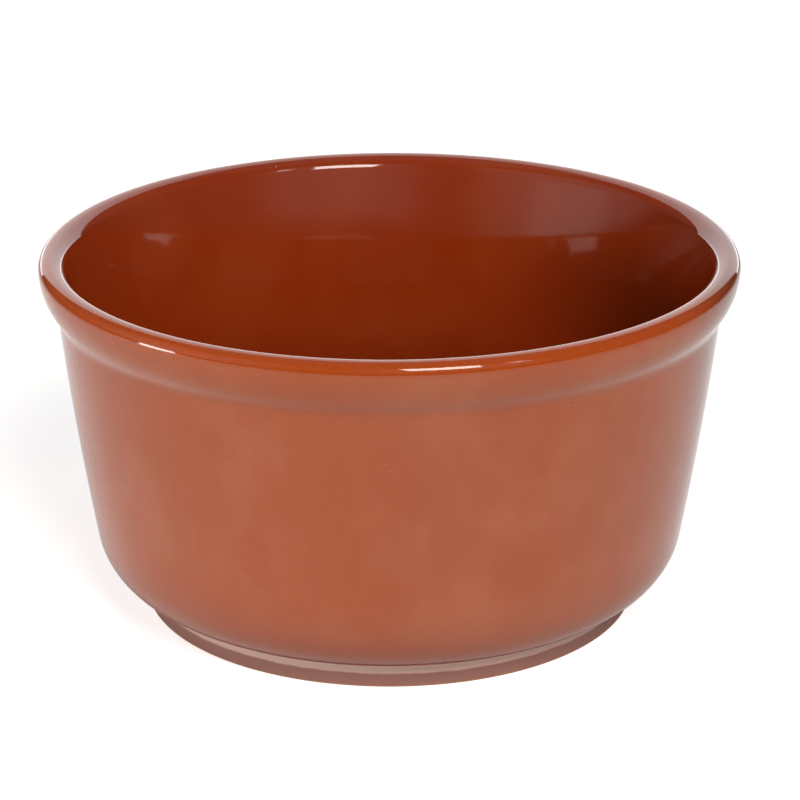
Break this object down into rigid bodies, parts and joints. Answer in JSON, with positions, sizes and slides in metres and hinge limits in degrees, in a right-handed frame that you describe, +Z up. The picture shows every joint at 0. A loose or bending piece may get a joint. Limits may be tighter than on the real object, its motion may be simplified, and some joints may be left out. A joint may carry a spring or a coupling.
{
  "type": "deep glazed bowl",
  "caption": "Deep round glazed clay bowl with a rolled rim band, a gently bellied wall that flares towards the lip inside, a rounded lower corner and a low foot ring, for serving food.",
  "frame": {"origin": "centre of the foot ring on the surface that the bowl stands on", "axes": "+Z up along the bowl's axis of turning; X and Y lie on the table and are alike"},
  "size_m": [0.15, 0.15, 0.079],
  "materials": {
    "red_brown_glaze": "glossy red-brown glaze over red clay, bare at the foot ring's edge"
  },
  "bodies": {
    "root": {"bowl": "red_brown_glaze"}
  },
  "joints": []
}
